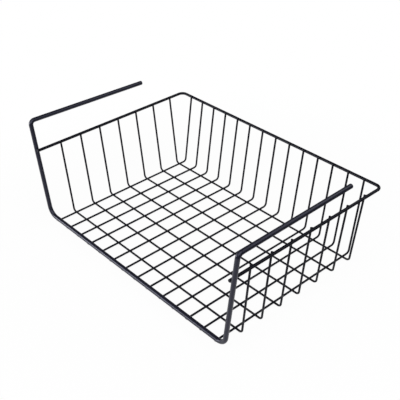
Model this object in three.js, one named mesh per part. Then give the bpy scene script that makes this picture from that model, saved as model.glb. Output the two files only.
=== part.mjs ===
// Hanging cabinet basket: an open-fronted wire basket that hangs under a shelf by two arms lying on the board.
// Millimetres. +X runs to the right, +Y from the open front to the back wall, +Z up. The origin lies under the
// middle of the basket, on the surface that its cross wires stand on.
import * as THREE from "three";

// Wire gauges.
const FRAME_GAUGE = 6;
const RIM_GAUGE = 4;
const MESH_GAUGE = 2.7;

// Clear space between the round surfaces of two wires that are welded together.
const WELD_GAP = 0.1;

// Floor grid: floor wires run front to back, and cross wires lie under them from wall to wall.
const FLOOR_WIRE_COUNT = 14;
const FLOOR_WIRE_PITCH = 25;
const CROSS_WIRE_COUNT = 7;
const CROSS_WIRE_PITCH = 32.5;

// From the front bar to the first cross wire, between centrelines.
const FIRST_CROSS_SETBACK = 33.4;

// Where each bend begins, past the centreline of the last wire that is welded to the straight run.
const BAR_BEND_SETBACK = 3.1;
const SIDE_BEND_SETBACK = 4.5;
const BACK_BEND_SETBACK = 5.6;

// Bend radii at the wire's centreline.
const BAR_BEND_RADIUS = 14;
const ARM_BEND_RADIUS = 6;
const RIM_BEND_RADIUS = 8;
const SIDE_BEND_RADIUS = 5;
const BACK_BEND_RADIUS = 5;

// Heights of centrelines above the surface that the basket stands on.
const RIM_HEIGHT = 108.2;
const ARM_HEIGHT = 148.6;

// How far the posts' tops and the back of the rim stand outside the floor grid.
const POST_OVERHANG = 34.9;
const RIM_OVERHANG = 29.2;

// Arms: reach behind the posts, and how much each tip lies lower and further in than its post.
const ARM_LENGTH = 184.8;
const ARM_DROOP = 2.7;
const ARM_TOE_IN = 4.2;

// Free ends, past the centreline of the wire that they are welded to.
const FLOOR_WIRE_NOSE = 0.3;
const RIM_NOSE = 2.1;
const UPRIGHT_TIP = 0.2;

// Facets: sides of a wire's section, whose corners lie on the true round, and steps in a bend.
const SECTION_SIDES = 12;
const BEND_STEPS = 6;

// Black powder coat.
const COAT_COLOUR = 0x1b1b20;
const COAT_ROUGHNESS = 0.45;
const COAT_METALNESS = 0;

// Distance between the centrelines of two wires that are welded side by side.
function weldDistance(gauge, otherGauge) {
  return (gauge + otherGauge) / 2 + WELD_GAP;
}

// Levels of the stacked wires: cross wires on the ground, floor wires on them, front bar on top.
const crossLevel = (MESH_GAUGE / 2) * Math.cos(Math.PI / SECTION_SIDES);
const floorLevel = crossLevel + weldDistance(MESH_GAUGE, MESH_GAUGE);
const barLevel = floorLevel + weldDistance(MESH_GAUGE, FRAME_GAUGE);

// Edges of the floor grid, measured from the middle of the front bar.
const outerFloorWire = ((FLOOR_WIRE_COUNT - 1) * FLOOR_WIRE_PITCH) / 2;
const lastCrossWire = FIRST_CROSS_SETBACK + (CROSS_WIRE_COUNT - 1) * CROSS_WIRE_PITCH;

// The slope at which a wire climbs when it runs level, bends up and then goes straight past a target, with the
// target on its outer side at a clear distance. run and rise lead from the start of the bend to the target.
function climbAngle(run, rise, radius, clearance) {
  const fromBendCentre = Math.hypot(run, rise - radius);
  return Math.atan2(rise - radius, run) + Math.asin((radius + clearance) / fromBendCentre);
}

// How far past the start of a bend the two straight runs would meet in a sharp corner.
function cornerReach(angle, radius) {
  return radius * Math.tan(angle / 2);
}

// Posts climb from the ends of the front bar to the arms.
const barBendStart = outerFloorWire + BAR_BEND_SETBACK;
const postTop = outerFloorWire + POST_OVERHANG;
const postAngle = climbAngle(postTop - barBendStart, ARM_HEIGHT - barLevel, BAR_BEND_RADIUS, 0);
const postFoot = barBendStart + cornerReach(postAngle, BAR_BEND_RADIUS);

// The rim's side runs touch the posts on their inner sides, and its back run sets the depth.
const postAtRim = postTop - (ARM_HEIGHT - RIM_HEIGHT) / Math.tan(postAngle);
const rimSide = postAtRim - weldDistance(FRAME_GAUGE, RIM_GAUGE) / Math.sin(postAngle);
const rimBack = lastCrossWire + RIM_OVERHANG;

// The corner and the tip of a mesh wire that turns up at a wall and ends against the inner side of the rim.
function wallUpright(bendStart, level, radius, rimPlace) {
  const clearance = weldDistance(RIM_GAUGE, MESH_GAUGE);
  const angle = climbAngle(rimPlace - bendStart, RIM_HEIGHT - level, radius, clearance);
  return {
    corner: bendStart + cornerReach(angle, radius),
    tip: rimPlace - clearance * Math.sin(angle) + UPRIGHT_TIP * Math.cos(angle),
    tipHeight: RIM_HEIGHT + clearance * Math.cos(angle) + UPRIGHT_TIP * Math.sin(angle),
  };
}

const sideWall = wallUpright(outerFloorWire + SIDE_BEND_SETBACK, crossLevel, SIDE_BEND_RADIUS, rimSide);
const backWall = wallUpright(lastCrossWire + BACK_BEND_SETBACK, floorLevel, BACK_BEND_RADIUS, rimBack);

function directionBetween(from, to) {
  return to.clone().sub(from).normalize();
}

// The centreline of a bent wire: straight runs between corner points, with a round bend at each inner corner.
// Its parameter counts the ends of the runs and the steps of the bends, so no step falls inside a straight run.
class BentCentreline extends THREE.Curve {
  constructor(corners, bendRadii) {
    super();
    this.points = [];
    this.tangents = [];
    const last = corners.length - 1;
    this.addStation(corners[0], directionBetween(corners[0], corners[1]));
    bendRadii.forEach((radius, k) => this.addBend(corners[k], corners[k + 1], corners[k + 2], radius));
    this.addStation(corners[last], directionBetween(corners[last - 1], corners[last]));
  }

  addStation(point, tangent) {
    this.points.push(point);
    this.tangents.push(tangent);
  }

  addBend(before, corner, after, radius) {
    const incoming = directionBetween(before, corner);
    const outgoing = directionBetween(corner, after);
    const turn = incoming.angleTo(outgoing);
    const axis = incoming.clone().cross(outgoing).normalize();
    const inward = axis.clone().cross(incoming);
    const start = corner.clone().addScaledVector(incoming, -cornerReach(turn, radius));
    const centre = start.clone().addScaledVector(inward, radius);
    for (let step = 0; step <= BEND_STEPS; step += 1) {
      const angle = (turn * step) / BEND_STEPS;
      const outward = inward.clone().negate().applyAxisAngle(axis, angle);
      const point = centre.clone().addScaledVector(outward, radius);
      this.addStation(point, incoming.clone().applyAxisAngle(axis, angle));
    }
  }

  get steps() {
    return this.points.length - 1;
  }

  between(stations, t, target) {
    const place = t * this.steps;
    const index = Math.min(Math.floor(place), this.steps - 1);
    return target.lerpVectors(stations[index], stations[index + 1], place - index);
  }

  getPoint(t, target = new THREE.Vector3()) {
    return this.between(this.points, t, target);
  }

  getTangent(t, target = new THREE.Vector3()) {
    return this.between(this.tangents, t, target).normalize();
  }

  getPointAt(u, target) {
    return this.getPoint(u, target);
  }

  getTangentAt(u, target) {
    return this.getTangent(u, target);
  }
}

function wireSection(gauge) {
  const corners = [];
  for (let side = 0; side < SECTION_SIDES; side += 1) {
    const angle = ((side + 0.5) * 2 * Math.PI) / SECTION_SIDES;
    corners.push(new THREE.Vector2(Math.cos(angle), Math.sin(angle)).multiplyScalar(gauge / 2));
  }
  return new THREE.Shape(corners);
}

// One bent wire. Each corner is [x, y, z], with y measured from the front bar.
function bentWire(name, gauge, corners, bendRadii) {
  const places = corners.map((corner) => new THREE.Vector3(...corner));
  const centreline = new BentCentreline(places, bendRadii);
  const geometry = new THREE.ExtrudeGeometry(wireSection(gauge), {
    steps: centreline.steps,
    extrudePath: centreline,
  });
  const coat = new THREE.MeshStandardMaterial({
    color: COAT_COLOUR,
    roughness: COAT_ROUGHNESS,
    metalness: COAT_METALNESS,
  });
  const wire = new THREE.Mesh(geometry, coat);
  wire.name = name;
  return wire;
}

// Left arm, left post, front bar, right post and right arm in one heavy wire.
function hangerFrame() {
  const tipHeight = ARM_HEIGHT - ARM_DROOP;
  const tipSide = postTop - ARM_TOE_IN;
  const corners = [
    [-tipSide, ARM_LENGTH, tipHeight],
    [-postTop, 0, ARM_HEIGHT],
    [-postFoot, 0, barLevel],
    [postFoot, 0, barLevel],
    [postTop, 0, ARM_HEIGHT],
    [tipSide, ARM_LENGTH, tipHeight],
  ];
  const bends = [ARM_BEND_RADIUS, BAR_BEND_RADIUS, BAR_BEND_RADIUS, ARM_BEND_RADIUS];
  return bentWire("hanger_frame", FRAME_GAUGE, corners, bends);
}

// Left side, back and right side at the top of the walls, open at the front.
function rimWire() {
  const corners = [
    [-rimSide, -RIM_NOSE, RIM_HEIGHT],
    [-rimSide, rimBack, RIM_HEIGHT],
    [rimSide, rimBack, RIM_HEIGHT],
    [rimSide, -RIM_NOSE, RIM_HEIGHT],
  ];
  return bentWire("rim_wire", RIM_GAUGE, corners, [RIM_BEND_RADIUS, RIM_BEND_RADIUS]);
}

// From under the front bar along the floor and up the back wall.
function floorWire(index) {
  const x = index * FLOOR_WIRE_PITCH - outerFloorWire;
  const corners = [
    [x, -FLOOR_WIRE_NOSE, floorLevel],
    [x, backWall.corner, floorLevel],
    [x, backWall.tip, backWall.tipHeight],
  ];
  const number = String(index + 1).padStart(2, "0");
  return bentWire(`floor_wire_${number}`, MESH_GAUGE, corners, [BACK_BEND_RADIUS]);
}

// Down the left wall, across under the floor wires and up the right wall.
function crossWire(index) {
  const y = FIRST_CROSS_SETBACK + index * CROSS_WIRE_PITCH;
  const corners = [
    [-sideWall.tip, y, sideWall.tipHeight],
    [-sideWall.corner, y, crossLevel],
    [sideWall.corner, y, crossLevel],
    [sideWall.tip, y, sideWall.tipHeight],
  ];
  return bentWire(`cross_wire_${index + 1}`, MESH_GAUGE, corners, [SIDE_BEND_RADIUS, SIDE_BEND_RADIUS]);
}

const wires = new THREE.Group();
wires.add(hangerFrame(), rimWire());
for (let index = 0; index < FLOOR_WIRE_COUNT; index += 1) {
  wires.add(floorWire(index));
}
for (let index = 0; index < CROSS_WIRE_COUNT; index += 1) {
  wires.add(crossWire(index));
}

// The wires move forward so that the origin lies midway between the front bar and the back of the rim.
const reach = new THREE.Box3().setFromObject(wires);
wires.position.y = -(reach.min.y + reach.max.y) / 2;

const basket = new THREE.Group();
basket.name = "hanging_cabinet_basket";
basket.add(wires);

export default basket;
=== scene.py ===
# %% [markdown]
# A hanging cabinet basket, dressed for its picture.
# The real thing is twenty-three bent steel wires, spot welded where they cross and coated black.
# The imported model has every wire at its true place, but with twelve flat sides and a bare gap at each weld.
# This lesson gives each wire its round skin, adds the welds, and finishes both in a satin powder coat.
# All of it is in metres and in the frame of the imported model.

# %% Load the frame
import math

import bmesh
import bpy
from mathutils import Matrix, Vector


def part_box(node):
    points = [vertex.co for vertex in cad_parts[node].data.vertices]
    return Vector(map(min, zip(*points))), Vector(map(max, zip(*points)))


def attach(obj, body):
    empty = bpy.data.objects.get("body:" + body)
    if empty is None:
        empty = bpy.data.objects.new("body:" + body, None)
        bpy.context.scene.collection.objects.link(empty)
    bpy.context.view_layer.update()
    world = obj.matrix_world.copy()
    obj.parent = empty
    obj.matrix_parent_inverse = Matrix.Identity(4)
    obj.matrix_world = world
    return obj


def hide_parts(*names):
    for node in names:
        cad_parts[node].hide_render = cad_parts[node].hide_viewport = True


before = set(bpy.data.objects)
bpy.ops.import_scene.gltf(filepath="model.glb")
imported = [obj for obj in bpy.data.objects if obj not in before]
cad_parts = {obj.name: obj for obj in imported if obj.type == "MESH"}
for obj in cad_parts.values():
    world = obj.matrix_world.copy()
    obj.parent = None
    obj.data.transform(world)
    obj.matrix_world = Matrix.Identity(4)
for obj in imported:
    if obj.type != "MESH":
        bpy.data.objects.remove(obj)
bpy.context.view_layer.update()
MM = 0.001
print("nodes in the frame:", len(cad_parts))

# %% [markdown]
# The camera comes first, because every later choice is judged through it.
# It could be pushed about by hand until the picture fits. Here it is set by where it stands and the point
# that it looks at, because two points are easy to read and to change.
# The small roll is there because the camera was not held quite level.

# %% Set up the camera
CAMERA_PLACE = Vector((0.6150, -0.5443, 0.6082))
CAMERA_AIM = Vector((-0.0682, 0.0558, 0.0))
CAMERA_ROLL = math.radians(-1.28)
CAMERA_LENS = 67.05
SENSOR_WIDTH = 36.0


def put_in_scene(thing):
    bpy.context.scene.collection.objects.link(thing)
    return thing


def aim(thing, place, target, roll=0.0):
    """Stands a camera or a lamp at a place and turns it to a target."""
    facing = (target - place).to_track_quat("-Z", "Y").to_matrix().to_4x4()
    thing.matrix_world = Matrix.Translation(place) @ facing @ Matrix.Rotation(roll, 4, "Z")


def aimed_camera():
    lens = bpy.data.cameras.new("photo_camera")
    lens.lens = CAMERA_LENS
    lens.sensor_width = SENSOR_WIDTH
    camera = put_in_scene(bpy.data.objects.new("photo_camera", lens))
    aim(camera, CAMERA_PLACE, CAMERA_AIM, CAMERA_ROLL)
    bpy.context.scene.camera = camera
    return camera


photo_camera = aimed_camera()
print("camera stands", round((CAMERA_PLACE - CAMERA_AIM).length, 3), "m from what it looks at")
print("camera right", [round(part, 4) for part in photo_camera.matrix_world.col[0][:3]])

# %% [markdown]
# The coats, the wires, the welds and the room are all built from nodes in this lesson.
# They could be wired with a line of code for each node and each cable, but then nobody sees the formula.
# Instead, one small class stands for an output socket, and arithmetic on it adds the Math nodes.


# %% Sockets that take part in formulas
class Signal:
    """An output socket. Arithmetic on it adds Math nodes to its tree."""

    def __init__(self, bench, socket):
        self.bench = bench
        self.socket = socket

    def maths(self, operation, first, second):
        return self.bench.node("ShaderNodeMath", {"operation": operation}, {0: first, 1: second})

    def __add__(self, other):
        return self.maths("ADD", self, other)

    def __sub__(self, other):
        return self.maths("SUBTRACT", self, other)

    def __rsub__(self, other):
        return self.maths("SUBTRACT", other, self)

    def __mul__(self, other):
        return self.maths("MULTIPLY", self, other)

    __radd__ = __add__
    __rmul__ = __mul__


print("signals can be added, subtracted and multiplied")

# %% [markdown]
# Every other kind of node comes from one method of a bench, which holds the tree in the making.
# It sets a node's own settings first, because they decide which sockets the node shows.
# Colours go through a Mix node, because a Math node would turn them grey.


# %% A bench for node trees
class Bench:
    """A node tree in the making."""

    def __init__(self, tree):
        self.tree = tree

    def node(self, kind, settings=None, sockets=None, output=0):
        """Adds a node, sets its settings, fills its sockets with values or links, returns one output."""
        made = self.tree.nodes.new(kind)
        for name, value in (settings or {}).items():
            setattr(made, name, value)
        for key, value in (sockets or {}).items():
            if isinstance(value, Signal):
                self.tree.links.new(value.socket, made.inputs[key])
            else:
                made.inputs[key].default_value = value
        return Signal(self, made.outputs[output]) if len(made.outputs) else None


def cleared_bench(owner):
    """An empty bench on the nodes of a material or a world."""
    owner.use_nodes = True
    owner.node_tree.nodes.clear()
    return Bench(owner.node_tree)


def colour_mix(bench, share, first, second):
    """A blend of two colours. A Mix node takes them at sockets 6 and 7 and gives it at output 2."""
    sockets = {0: share, 6: first, 7: second}
    return bench.node("ShaderNodeMix", {"data_type": "RGBA"}, sockets, output=2)


print("node bench ready")

# %% [markdown]
# Powder coat is a plastic skin that is baked on to the steel.
# It is nearly black, a little blue, and satin rather than shiny, with fine dimples like orange peel.
# One flat colour would look like a drawing, and a painted picture would have to be wrapped round each wire.
# So the coat is mixed from noise: slow clouds shift the colour and the gloss, and two finer sizes make the
# dimples and the grain. Object coordinates keep all of it at true size on every wire.

# %% Mix the powder coat
COAT_IOR = 1.5
GLOSS_TINT = (0.75, 0.77, 1.0, 1.0)
CLOUDS = {"Scale": 22.0, "Detail": 3.0}
DIMPLES = {"Scale": 620.0, "Detail": 1.0}
GRAIN = {"Scale": 2600.0, "Detail": 2.0}
NOISE_MIDDLE = 0.5
CLOUD_SHARE = 0.6
CLOUD_SWING = 0.18
GRAIN_SWING = 0.14
DIMPLE_SHARE = 0.75
BUMP_STRENGTH = 0.5


def powder_coat(name, deep, pale, gloss, roughness, dimple_depth):
    """A mix of the coat, with a colour that wanders from deep to pale."""
    material = bpy.data.materials.new(name)
    bench = cleared_bench(material)
    place = bench.node("ShaderNodeTexCoord", output="Object")

    def noise(sizes):
        return bench.node("ShaderNodeTexNoise", {}, {"Vector": place, **sizes})

    clouds, dimples, grain = noise(CLOUDS), noise(DIMPLES), noise(GRAIN)
    tone = clouds * CLOUD_SHARE + grain * (1 - CLOUD_SHARE)
    swing = (clouds - NOISE_MIDDLE) * CLOUD_SWING + (grain - NOISE_MIDDLE) * GRAIN_SWING
    relief = dimples * DIMPLE_SHARE + grain * (1 - DIMPLE_SHARE)
    bump_sockets = {"Strength": BUMP_STRENGTH, "Distance": dimple_depth, "Height": relief}
    skin_sockets = {
        "Base Color": colour_mix(bench, tone, deep, pale),
        "Roughness": swing + roughness,
        "Normal": bench.node("ShaderNodeBump", {}, bump_sockets),
        "IOR": COAT_IOR,
        "Specular IOR Level": gloss,
        "Specular Tint": GLOSS_TINT,
    }
    skin = bench.node("ShaderNodeBsdfPrincipled", {}, skin_sockets)
    bench.node("ShaderNodeOutputMaterial", {}, {"Surface": skin})
    return material


coarseness = [round(1 / (sizes["Scale"] * MM), 2) for sizes in (CLOUDS, DIMPLES, GRAIN)]
print("clouds, dimples and grain are about", coarseness, "mm wide")

# %% [markdown]
# The heavy frame looks greyer and glossier than the thin wires, although both had the same powder.
# Its mix has the higher gloss, and a paler, bluer colour that is painted sheen.
# One material could switch between the two, but two mixes of one recipe are easier to read and to tune.

# %% Two mixes of the coat
# The heavy mix's paler, bluer colours are painted sheen, not a different powder.
HEAVY_MIX_PAINTED_SHEEN = {
    "deep": (0.0055, 0.0056, 0.0105, 1.0),
    "pale": (0.0090, 0.0092, 0.0170, 1.0),
    "gloss": 0.43,
    "roughness": 0.32,
    "dimple_depth": 0.06 * MM,
}
THIN_MIX = {
    "deep": (0.0022, 0.0022, 0.0033, 1.0),
    "pale": (0.0050, 0.0049, 0.0070, 1.0),
    "gloss": 0.2,
    "roughness": 0.38,
    "dimple_depth": 0.06 * MM,
}

heavy_coat_painted_sheen = powder_coat("heavy_powder_coat_painted_sheen", **HEAVY_MIX_PAINTED_SHEEN)
thin_coat = powder_coat("thin_powder_coat", **THIN_MIX)
print("nodes in a coat:", len(heavy_coat_painted_sheen.node_tree.nodes))

# %% [markdown]
# The wires and the welds are made by Geometry Nodes, and both trees start and end in the same way.
# A tree's inputs have names, but a modifier reaches them by identifiers, so these are kept under the names.
# At the end every instance is made real, because an export drops instances, and the coat is set.


# %% How a tree starts and ends
def start_tree(name, inputs, output):
    """A new tree on a bench, the identifiers of its inputs by name, and the inputs' signals in order."""
    tree = bpy.data.node_groups.new(name, "GeometryNodeTree")
    keys = {}
    for title, kind in inputs.items():
        keys[title] = tree.interface.new_socket(title, in_out="INPUT", socket_type=kind).identifier
    tree.interface.new_socket(output, in_out="OUTPUT", socket_type="NodeSocketGeometry")
    bench = Bench(tree)
    return bench, keys, [bench.node("NodeGroupInput", output=title) for title in inputs]


def end_tree(bench, shape, coat):
    real = bench.node("GeometryNodeRealizeInstances", {}, {"Geometry": shape})
    coated = bench.node("GeometryNodeSetMaterial", {}, {"Geometry": real, "Material": coat})
    bench.node("NodeGroupOutput", {}, {0: coated})


print("trees end in real, coated shapes")

# %% [markdown]
# A bent wire is a round bar that follows a line with rounded corners.
# It could be put together from cylinders and pieces of ring, but then every size would be set many times.
# One tree rounds the corners and sweeps a circle along the line instead, and it serves all the wires.
# Each point of the line carries two numbers: how wide the bend is there, and how full the wire is.

# %% The tree that bends a wire
BEND_STEPS = 20
BEND_RADIUS = "bend_radius"
GIRTH = "girth"


def carried(bench, name, kind):
    """A number or a vector that the points of a shape carry under a name."""
    return bench.node("GeometryNodeInputNamedAttribute", {"data_type": kind}, {"Name": name})


def bent_wire_tree():
    inputs = {"Line": "NodeSocketGeometry", "Gauge": "NodeSocketFloat"}
    inputs |= {"Sides": "NodeSocketInt", "Coat": "NodeSocketMaterial"}
    bench, keys, (line, gauge, sides, coat) = start_tree("bent_wire", inputs, "Wire")
    path = bench.node("GeometryNodeMeshToCurve", {}, {"Mesh": line})
    bends = {"Curve": path, "Count": BEND_STEPS, "Radius": carried(bench, BEND_RADIUS, "FLOAT")}
    bent = bench.node("GeometryNodeFilletCurve", {"mode": "POLY"}, bends)
    circle = {"Resolution": sides, "Radius": gauge * 0.5}
    section = bench.node("GeometryNodeCurvePrimitiveCircle", {}, circle)
    sweep = {"Curve": bent, "Profile Curve": section, "Fill Caps": True}
    sweep["Scale"] = carried(bench, GIRTH, "FLOAT")
    end_tree(bench, bench.node("GeometryNodeCurveToMesh", {}, sweep), coat)
    return bench.tree, keys


wire_tree, wire_keys = bent_wire_tree()
print("bent wire tree inputs:", list(wire_keys))

# %% [markdown]
# A cut wire has no knife edge, because the cut is tumbled smooth and the powder runs round it.
# A Bevel modifier could round it, but it would first have to find the edge on every wire.
# Here the line gets a few extra points close to each end, where the wire thins on a quarter circle.

# %% Lay the line of a wire
END_SOFTNESS = 0.22
END_STEPS = 4
FIELDS = {"FLOAT": "value", "FLOAT_VECTOR": "vector"}


def softened_end(tip, inward, gauge):
    """Places and girths from the face of a cut end to the full wire."""
    depth = END_SOFTNESS * gauge / 2
    stations = []
    for step in range(END_STEPS):
        angle = math.pi / 2 * step / (END_STEPS - 1)
        place = tip + inward * depth * (1 - math.cos(angle))
        girth = 1 - END_SOFTNESS * (1 - math.sin(angle))
        stations.append((place, girth))
    return stations


def carry(mesh, name, kind, numbers):
    """Gives the points of a mesh a number or a vector each, under a name."""
    mesh.attributes.new(name, kind, "POINT").data.foreach_set(FIELDS[kind], numbers)


def wire_line(name, gauge, corners, bend_radii):
    points = [Vector(corner) for corner in corners]
    first = softened_end(points[0], (points[1] - points[0]).normalized(), gauge)
    last = softened_end(points[-1], (points[-2] - points[-1]).normalized(), gauge)
    stations = first + [(point, 1.0) for point in points[1:-1]] + last[::-1]
    links = [(k, k + 1) for k in range(len(stations) - 1)]
    mesh = bpy.data.meshes.new(name)
    mesh.from_pydata([place for place, girth in stations], links, [])
    carry(mesh, BEND_RADIUS, "FLOAT", [0.0] * len(first) + bend_radii + [0.0] * len(last))
    carry(mesh, GIRTH, "FLOAT", [girth for place, girth in stations])
    return put_in_scene(bpy.data.objects.new(name, mesh))


print("cut ends are softened over", END_SOFTNESS, "of the wire's radius")

# %% [markdown]
# A tree runs as a modifier on its piece, and it could stay there for good.
# A plain mesh is easier to measure and to export, so the result is kept as one, the modifier goes,
# and so do the numbers that the points carried.
# The finished skin then rides on the basket in place of its packed wire.


# %% Run a tree and keep its mesh
def run_tree(piece, tree, keys, values, spent):
    """Runs a tree on a piece, keeps the result as its plain mesh and takes off the spent attributes."""
    modifier = piece.modifiers.new(tree.name, "NODES")
    modifier.node_group = tree
    for title, value in values.items():
        modifier[keys[title]] = value
    evaluated = piece.evaluated_get(bpy.context.evaluated_depsgraph_get())
    mesh = bpy.data.meshes.new_from_object(evaluated)
    piece.modifiers.clear()
    piece.data = mesh
    for name in spent:
        if name in mesh.attributes:
            mesh.attributes.remove(mesh.attributes[name])


def skinned_wire(node, coat, gauge, sides, corners, bend_radii):
    piece = wire_line(f"{node}_coated", gauge, corners, bend_radii)
    values = {"Gauge": gauge, "Sides": sides, "Coat": coat}
    run_tree(piece, wire_tree, wire_keys, values, (BEND_RADIUS, GIRTH))
    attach(piece, "root")
    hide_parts(node)
    return piece


# %% [markdown]
# The sizes below are the basket's own, in millimetres, as a maker would write them on a drawing.
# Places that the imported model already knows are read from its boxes, so that both models share them.
# The box of a twelve-sided wire is a hair smaller than the round wire, and FLAT_SHARE says by how much.

# %% The sizes of the basket
FRAME_GAUGE = 6 * MM
RIM_GAUGE = 4 * MM
MESH_GAUGE = 2.7 * MM
WELD_GAP = 0.1 * MM
FLOOR_WIRE_COUNT = 14
CROSS_WIRE_COUNT = 7
PACKED_SIDES = 12
FLAT_SHARE = math.cos(math.pi / PACKED_SIDES)

floor_names = [f"floor_wire_{number:02d}" for number in range(1, FLOOR_WIRE_COUNT + 1)]
cross_names = [f"cross_wire_{number}" for number in range(1, CROSS_WIRE_COUNT + 1)]


def middle(node):
    low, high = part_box(node)
    return (low + high) / 2


def weld_distance(gauge, other):
    """Between the centrelines of two wires that are welded together."""
    return (gauge + other) / 2 + WELD_GAP


floor_places = [middle(node).x for node in floor_names]
cross_places = [middle(node).y for node in cross_names]
cross_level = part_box(cross_names[0])[0].z + MESH_GAUGE / 2 * FLAT_SHARE
floor_level = cross_level + weld_distance(MESH_GAUGE, MESH_GAUGE)
bar_level = floor_level + weld_distance(MESH_GAUGE, FRAME_GAUGE)
print("levels in mm:", [round(level / MM, 3) for level in (cross_level, floor_level, bar_level)])

# %% [markdown]
# The hanger frame is the heavy wire that carries everything: arm, post, front bar, post and arm.
# The posts lean out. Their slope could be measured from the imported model, but it follows from other sizes:
# a wire that runs level, bends up on a radius and then goes straight past a target has one slope that fits.
# That slope is worked out once, here for the posts and later for the walls.

# %% The hanger frame
FLOOR_WIRE_NOSE = 0.3 * MM
BAR_BEND_SETBACK = 3.1 * MM
BAR_BEND_RADIUS = 14 * MM
ARM_BEND_RADIUS = 6 * MM
ARM_HEIGHT = 148.6 * MM
POST_OVERHANG = 34.9 * MM
ARM_LENGTH = 184.8 * MM
ARM_DROOP = 2.7 * MM
ARM_TOE_IN = 4.2 * MM
FRAME_SIDES = 40


def climb_angle(run, rise, radius, clearance):
    from_bend_centre = math.hypot(run, rise - radius)
    return math.atan2(rise - radius, run) + math.asin((radius + clearance) / from_bend_centre)


def both_sides(right):
    """The corners of a whole wire from left to right, from those of its right half."""
    return [(-x, y, z) for x, y, z in right[::-1]] + right


outer_floor_wire = floor_places[-1]
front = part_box(floor_names[0])[0].y + FLOOR_WIRE_NOSE
bar_bend_start = outer_floor_wire + BAR_BEND_SETBACK
post_top = outer_floor_wire + POST_OVERHANG
post_angle = climb_angle(post_top - bar_bend_start, ARM_HEIGHT - bar_level, BAR_BEND_RADIUS, 0)
post_foot = bar_bend_start + BAR_BEND_RADIUS * math.tan(post_angle / 2)


def hanger_frame():
    tip = (post_top - ARM_TOE_IN, front + ARM_LENGTH, ARM_HEIGHT - ARM_DROOP)
    corners = both_sides([(post_foot, front, bar_level), (post_top, front, ARM_HEIGHT), tip])
    bends = [ARM_BEND_RADIUS, BAR_BEND_RADIUS, BAR_BEND_RADIUS, ARM_BEND_RADIUS]
    return skinned_wire("hanger_frame", heavy_coat_painted_sheen, FRAME_GAUGE, FRAME_SIDES, corners, bends)


wires = [hanger_frame()]
print("posts lean", round(90 - math.degrees(post_angle), 2), "degrees out")

# %% [markdown]
# The rim is a middle-weight wire round the top of three walls, welded to the inner side of each post.
# It could be drawn from sizes of its own, but then it would come off the posts when one of those changes.
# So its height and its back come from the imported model, and its sides from the posts that it touches.

# %% The rim
RIM_BEND_RADIUS = 8 * MM
RIM_NOSE = 2.1 * MM
RIM_SIDES = 32

rim_height = middle("rim_wire").z
rim_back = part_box("rim_wire")[1].y - RIM_GAUGE / 2 * FLAT_SHARE
post_at_rim = post_top - (ARM_HEIGHT - rim_height) / math.tan(post_angle)
rim_side = post_at_rim - weld_distance(FRAME_GAUGE, RIM_GAUGE) / math.sin(post_angle)


def rim():
    corners = both_sides([(rim_side, rim_back, rim_height), (rim_side, front - RIM_NOSE, rim_height)])
    bends = [RIM_BEND_RADIUS, RIM_BEND_RADIUS]
    return skinned_wire("rim_wire", thin_coat, RIM_GAUGE, RIM_SIDES, corners, bends)


wires.append(rim())
print("rim", round(2 * rim_side / MM, 1), "mm wide at height", round(rim_height / MM, 1), "mm")

# %% [markdown]
# The mesh wires make the floor and the walls. Floor wires run from under the front bar to the back wall,
# and cross wires lie under them from the left wall to the right one.
# One wire of each kind could be copied along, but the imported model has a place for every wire,
# so each is made at its own place. It ends against the inner side of the rim, and the rule that gave the
# posts their slope gives its slope too.

# %% The mesh wires
SIDE_BEND_SETBACK = 4.5 * MM
BACK_BEND_SETBACK = 5.6 * MM
SIDE_BEND_RADIUS = 5 * MM
BACK_BEND_RADIUS = 5 * MM
UPRIGHT_TIP = 0.2 * MM
MESH_SIDES = 20


def wall_upright(bend_start, level, radius, rim_place):
    """Slope, corner, tip and height of the tip of a wire that turns up at a wall, inside the rim."""
    clearance = weld_distance(RIM_GAUGE, MESH_GAUGE)
    angle = climb_angle(rim_place - bend_start, rim_height - level, radius, clearance)
    corner = bend_start + radius * math.tan(angle / 2)
    tip = rim_place - clearance * math.sin(angle) + UPRIGHT_TIP * math.cos(angle)
    tip_height = rim_height + clearance * math.cos(angle) + UPRIGHT_TIP * math.sin(angle)
    return angle, corner, tip, tip_height


back_start = cross_places[-1] + BACK_BEND_SETBACK
side_start = outer_floor_wire + SIDE_BEND_SETBACK
back_angle, back_corner, back_tip, back_tip_height = wall_upright(
    back_start, floor_level, BACK_BEND_RADIUS, rim_back)
side_angle, side_corner, side_tip, side_tip_height = wall_upright(
    side_start, cross_level, SIDE_BEND_RADIUS, rim_side)


def floor_wire(node, x):
    nose = (x, front - FLOOR_WIRE_NOSE, floor_level)
    corners = [nose, (x, back_corner, floor_level), (x, back_tip, back_tip_height)]
    return skinned_wire(node, thin_coat, MESH_GAUGE, MESH_SIDES, corners, [BACK_BEND_RADIUS])


def cross_wire(node, y):
    corners = both_sides([(side_corner, y, cross_level), (side_tip, y, side_tip_height)])
    bends = [SIDE_BEND_RADIUS, SIDE_BEND_RADIUS]
    return skinned_wire(node, thin_coat, MESH_GAUGE, MESH_SIDES, corners, bends)


wires += [floor_wire(node, x) for node, x in zip(floor_names, floor_places)]
wires += [cross_wire(node, y) for node, y in zip(cross_names, cross_places)]
print("wires made:", len(wires))

# %% [markdown]
# A wire that drifts from its packed place would no longer match what the basket collides with.
# The eye doesn't catch a drift of a tenth of a millimetre, so each wire is measured: its box against
# that of the node that it stands for, and its volume, which comes out right only for a closed skin.

# %% Measure the wires
CM = 10 * MM


def box_drift(piece, node):
    low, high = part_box(node)
    places = [vertex.co for vertex in piece.data.vertices]
    drift = 0.0
    for axis in range(3):
        spread = [place[axis] for place in places]
        drift = max(drift, abs(min(spread) - low[axis]), abs(max(spread) - high[axis]))
    return drift


def volume(piece):
    solid = bmesh.new()
    solid.from_mesh(piece.data)
    amount = solid.calc_volume(signed=True)
    solid.free()
    return amount


wire_nodes = ["hanger_frame", "rim_wire"] + floor_names + cross_names
drifts = [box_drift(piece, node) for piece, node in zip(wires, wire_nodes)]
print("largest drift of a wire's box:", round(max(drifts) / MM, 3), "mm")
print("steel in the wires:", round(sum(volume(piece) for piece in wires) / CM**3, 2), "cm3")

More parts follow.
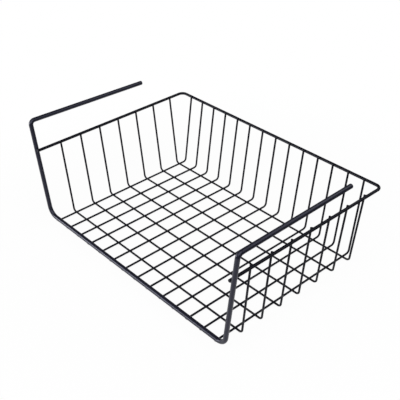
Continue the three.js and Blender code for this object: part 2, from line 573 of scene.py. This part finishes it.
# %% [markdown]
# Spot welding presses two hot wires together, and the powder then fills the crease round each spot.
# Seen close, every crossing has a small pillow between its wires.
# The spots could be found by testing all the wires against each other, but it is known which ones touch.
# So each contact is written down as it comes: its place, the pillow's three half sizes and its turn.

# %% Where the welds are
THROAT_SHARE = 0.24
contacts = []


def add_contact(place, gauge_x, gauge_y, turn):
    """A weld between a wire along the bead's own x and one along its own y."""
    throat = THROAT_SHARE * min(gauge_x, gauge_y)
    half_sizes = (math.sqrt(gauge_y * throat), math.sqrt(gauge_x * throat), throat)
    contacts.append((place, half_sizes, turn))


def rim_contact(rim_place, angle, reach):
    """How far out and how high a leaning wire meets the rim, with a negative reach on its outer side."""
    return rim_place - reach * math.sin(angle), rim_height + reach * math.cos(angle)


level_turn = (0.0, 0.0, 0.0)
back_turn = (back_angle, 0.0, 0.0)
to_rim = RIM_GAUGE / 2 + WELD_GAP / 2
between_floor_and_cross = (floor_level + cross_level) / 2
under_bar = floor_level + MESH_GAUGE / 2 + WELD_GAP / 2
back_contact = rim_contact(rim_back, back_angle, to_rim)
side_contact, side_contact_height = rim_contact(rim_side, side_angle, to_rim)
post_contact, post_contact_height = rim_contact(rim_side, post_angle, -to_rim)

for x in floor_places:
    add_contact((x, front, under_bar), FRAME_GAUGE, MESH_GAUGE, level_turn)
    add_contact((x, *back_contact), RIM_GAUGE, MESH_GAUGE, back_turn)
    for y in cross_places:
        add_contact((x, y, between_floor_and_cross), MESH_GAUGE, MESH_GAUGE, level_turn)
for side in (-1, 1):
    post_turn = (0.0, -side * post_angle, 0.0)
    wall_turn = (0.0, -side * side_angle, 0.0)
    add_contact((side * post_contact, front, post_contact_height), FRAME_GAUGE, RIM_GAUGE, post_turn)
    for y in cross_places:
        add_contact((side * side_contact, y, side_contact_height), MESH_GAUGE, RIM_GAUGE, wall_turn)
print("weld contacts:", len(contacts))

# %% [markdown]
# All the pillows are one low ball, pulled to the size of its crease and turned with its wires.
# Copies made by hand would be slow to place and would look stamped. Geometry Nodes set the ball on every
# contact and let its size vary a little, with a fixed seed, so that each run gives the same welds.
# The powder lies rougher on a weld than on a drawn wire, so the beads have a rougher mix of the coat.

# %% The tree that sets a bead on every contact
BEAD_SEGMENTS = 10
BEAD_RINGS = 5
BEAD_SEED = 7
BEAD_HALF_SIZES = "bead_half_sizes"
BEAD_TURN = "bead_turn"
WELD_MIX = {**THIN_MIX, "roughness": 0.44, "dimple_depth": 0.09 * MM}
weld_coat = powder_coat("weld_powder_coat", **WELD_MIX)


def weld_bead_tree():
    inputs = {"Contacts": "NodeSocketGeometry"}
    inputs |= {"Unevenness": "NodeSocketFloat", "Coat": "NodeSocketMaterial"}
    bench, keys, (points, unevenness, coat) = start_tree("weld_beads", inputs, "Beads")
    round_ball = {"Segments": BEAD_SEGMENTS, "Rings": BEAD_RINGS, "Radius": 1.0}
    ball = bench.node("GeometryNodeMeshUVSphere", {}, round_ball)
    smooth = bench.node("GeometryNodeSetShadeSmooth", {}, {"Geometry": ball})
    turn = carried(bench, BEAD_TURN, "FLOAT_VECTOR")
    rotation = bench.node("FunctionNodeEulerToRotation", {}, {"Euler": turn})
    # A Random Value node takes the range of a number at sockets 2 and 3 and gives it at output 1.
    span = {2: 1 - unevenness, 3: 1 + unevenness, "Seed": BEAD_SEED}
    chance = bench.node("FunctionNodeRandomValue", {"data_type": "FLOAT"}, span, output=1)
    sizes = {0: carried(bench, BEAD_HALF_SIZES, "FLOAT_VECTOR"), "Scale": chance}
    uneven = bench.node("ShaderNodeVectorMath", {"operation": "SCALE"}, sizes)
    setting = {"Points": points, "Instance": smooth, "Rotation": rotation, "Scale": uneven}
    end_tree(bench, bench.node("GeometryNodeInstanceOnPoints", {}, setting), coat)
    return bench.tree, keys


bead_tree, bead_keys = weld_bead_tree()
print("weld bead tree inputs:", list(bead_keys))

# %% [markdown]
# The contacts now become a cloud of points that carry half sizes and turns, and the tree makes the beads.
# Each bead could be a piece of its own, but on the real basket a weld is only melted wire.
# So all of them are one piece, which rides on the basket and stands for none of its packed wires.

# %% Weld the basket
UNEVENNESS = 0.12


def weld_beads():
    places, half_sizes, turns = zip(*contacts)
    mesh = bpy.data.meshes.new("weld_beads")
    mesh.from_pydata(places, [], [])
    carry(mesh, BEAD_HALF_SIZES, "FLOAT_VECTOR", [size for sizes in half_sizes for size in sizes])
    carry(mesh, BEAD_TURN, "FLOAT_VECTOR", [angle for turn in turns for angle in turn])
    piece = put_in_scene(bpy.data.objects.new("weld_beads", mesh))
    values = {"Unevenness": UNEVENNESS, "Coat": weld_coat}
    run_tree(piece, bead_tree, bead_keys, values, (BEAD_HALF_SIZES, BEAD_TURN))
    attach(piece, "root")
    return piece


beads = weld_beads()
print("bead faces:", len(beads.data.polygons), "volume", round(volume(beads) / MM**3), "mm3")

# %% [markdown]
# The studio is a white sheet on a table, in a dim room.
# A lit white floor never comes out quite white, so the camera sees mostly a glow of strength one there.
# Close to the basket a small share stays a real, lit surface, and that share keeps its faint shadow.
# Light Path tells the rays apart. A glossy ray sees the white sheet too, but further out it finds the grey
# of the room, because a black wire gets its form from where its reflection goes from light to dark.

# %% The look of the white sheet
FLOOR_WHITE = (0.9, 0.9, 0.9, 1.0)
PURE_WHITE = (1.0, 1.0, 1.0, 1.0)
FAR_GREY = (0.08, 0.08, 0.10, 1.0)
SHOWN_SHARE = 0.94
SHEET_MIDDLE = (-0.15, -0.25, 0.0)
SHEET_NEAR = 0.36
SHEET_FAR = 0.65
BASKET_MIDDLE = (0.0, 0.0, 0.0)
SHADOW_NEAR = 0.22
SHADOW_FAR = 0.50


def ray(bench, kind):
    return bench.node("ShaderNodeLightPath", output=f"Is {kind} Ray")


def sheet_white():
    material = bpy.data.materials.new("studio_white")
    bench = cleared_bench(material)
    place = bench.node("ShaderNodeTexCoord", output="Object")

    def fade(centre, near, far):
        ends = {0: place, 1: centre}
        away = bench.node("ShaderNodeVectorMath", {"operation": "DISTANCE"}, ends, output="Value")
        span = {"Value": away, "From Min": near, "From Max": far}
        return bench.node("ShaderNodeMapRange", {"interpolation_type": "SMOOTHSTEP"}, span)

    mirrored = ray(bench, "Glossy") + ray(bench, "Transmission")
    seen = ray(bench, "Camera") + mirrored
    dim = fade(SHEET_MIDDLE, SHEET_NEAR, SHEET_FAR) * mirrored
    glow = {"Color": colour_mix(bench, dim, PURE_WHITE, FAR_GREY), "Strength": 1.0}
    shown = bench.node("ShaderNodeEmission", {}, glow)
    lit = bench.node("ShaderNodeBsdfDiffuse", {}, {"Color": FLOOR_WHITE})
    share = fade(BASKET_MIDDLE, SHADOW_NEAR, SHADOW_FAR) * (1 - SHOWN_SHARE) + SHOWN_SHARE
    both = bench.node("ShaderNodeMixShader", {}, {0: seen * share, 1: lit, 2: shown})
    bench.node("ShaderNodeOutputMaterial", {}, {"Surface": both})
    return material


studio_white = sheet_white()
print("share of the sheet that keeps the shadow:", round(1 - SHOWN_SHARE, 2))

# %% [markdown]
# The sheet itself is a single large square. A backdrop could rise behind the basket, but the camera looks
# down and sees only the floor.
# The drop keeps the square clear of the cross wires, whose round skins reach a hair lower than the flats.

# %% Lay the sheet
FLOOR_SIZE = 6.0
FLOOR_DROP = 0.2 * MM


def studio_floor():
    half = FLOOR_SIZE / 2
    corners = ((-half, -half), (half, -half), (half, half), (-half, half))
    mesh = bpy.data.meshes.new("studio_floor")
    mesh.from_pydata([(x, y, -FLOOR_DROP) for x, y in corners], [], [(0, 1, 2, 3)])
    mesh.materials.append(studio_white)
    floor = put_in_scene(bpy.data.objects.new("studio_floor", mesh))


studio_floor()
print("sheet", FLOOR_SIZE, "m wide")

# %% [markdown]
# The room is the world round the sheet, and it too answers each ray in its own way.
# Walls could be built for it, but the world needs no geometry and reaches everywhere.
# The camera sees it white, like the sheet, and a reflection finds it grey.
# On the basket it sheds a dim, even light.

# %% The room
ROOM_LEVEL = 0.12


def studio_room():
    world = bpy.data.worlds.new("studio_room")
    bench = cleared_bench(world)
    mirrored = ray(bench, "Glossy") + ray(bench, "Transmission")
    seen = ray(bench, "Camera") + mirrored
    wall = colour_mix(bench, mirrored, PURE_WHITE, FAR_GREY)
    level = seen * (1 - ROOM_LEVEL) + ROOM_LEVEL
    sky = bench.node("ShaderNodeBackground", {}, {"Color": wall, "Strength": level})
    bench.node("ShaderNodeOutputWorld", {}, {"Surface": sky})
    bpy.context.scene.world = world


studio_room()
bpy.context.scene.view_settings.view_transform = "Standard"
print("room level", ROOM_LEVEL)

# %% [markdown]
# Lamps can be small and hard or large and soft. These are large, so that no wire gets a hard streak.
# The key stands high at the front right and lights everything evenly.
# A round wire mirrors only the lamps that suit its direction, so two weaker lamps draw the form: a low one
# at the front left greys the lower half of the wires that run across, and one over the back lights the
# upper side of those that run front to back.

# %% The lamps
LAMPS = {
    "key_lamp": {"place": (1.0, -1.3, 2.0), "width": 3.0, "height": 3.0, "watts": 65.0},
    "strip_lamp": {"place": (-1.35, -1.4, 0.35), "width": 1.3, "height": 0.7, "watts": 26.0},
    "back_lamp": {"place": (0.55, 0.85, 1.0), "width": 1.8, "height": 1.0, "watts": 7.0},
}


def soft_lamp(name, place, width, height, watts):
    light = bpy.data.lights.new(name, "AREA")
    light.shape = "RECTANGLE"
    light.size = width
    light.size_y = height
    light.energy = watts
    lamp = put_in_scene(bpy.data.objects.new(name, light))
    lamp.visible_camera = False
    aim(lamp, Vector(place), Vector(BASKET_MIDDLE))
    return lamp


lamps = [soft_lamp(name, **setting) for name, setting in LAMPS.items()]
print("lamps:", [lamp.name for lamp in lamps])
